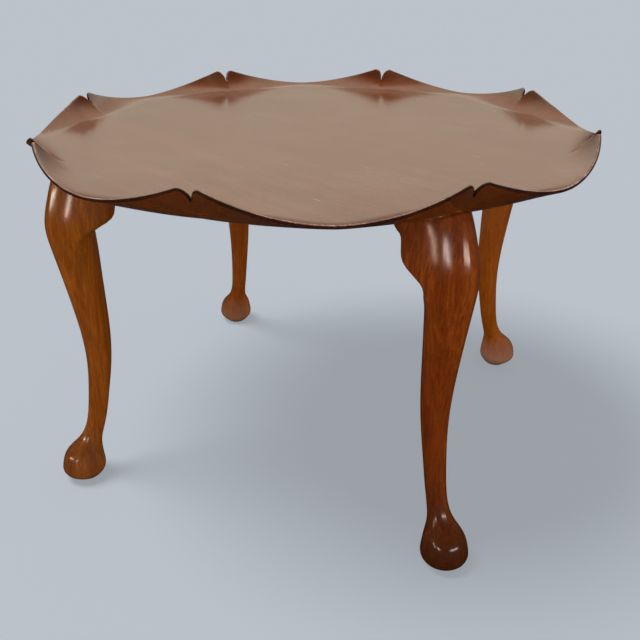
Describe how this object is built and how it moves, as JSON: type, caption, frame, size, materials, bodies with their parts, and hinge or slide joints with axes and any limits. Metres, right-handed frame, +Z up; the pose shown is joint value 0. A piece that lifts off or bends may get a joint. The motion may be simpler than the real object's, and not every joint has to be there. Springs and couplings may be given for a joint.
{
  "type": "coffee table",
  "caption": "Round wooden coffee table with a scalloped dish top, an upturned notched rim and cabriole legs on ball feet.",
  "frame": {"origin": "on the floor under the middle of the table", "axes": "+Z up through the middle of the top, +X to the right between the right legs, -Y to the front between the front legs"},
  "size_m": [0.6692, 0.6692, 0.432],
  "materials": {
    "mahogany_top": "red-brown mahogany under a polished shellac finish",
    "mahogany_leg": "red-brown mahogany under a polished shellac finish",
    "bearer_wood": "planed, thinly stained",
    "dowel_wood": "plain turned beech",
    "screw_steel": "plain bright steel, slightly dulled",
    "felt": "pressed brown felt"
  },
  "bodies": {
    "root": {"table_top": "mahogany_top", "leg_front_left": "mahogany_leg", "leg_front_right": "mahogany_leg", "leg_back_left": "mahogany_leg", "leg_back_right": "mahogany_leg", "knee_block_front_left_front": "mahogany_leg", "knee_block_front_left_side": "mahogany_leg", "knee_block_front_right_front": "mahogany_leg", "knee_block_front_right_side": "mahogany_leg", "knee_block_back_left_back": "mahogany_leg", "knee_block_back_left_side": "mahogany_leg", "knee_block_back_right_back": "mahogany_leg", "knee_block_back_right_side": "mahogany_leg", "bearer_front_left_to_back_right": "bearer_wood", "bearer_front_right_to_back_left": "bearer_wood", "leg_dowels": "dowel_wood", "bearer_screws": "screw_steel", "felt_pad_front_left": "felt", "felt_pad_front_right": "felt", "felt_pad_back_left": "felt", "felt_pad_back_right": "felt"}
  },
  "joints": []
}
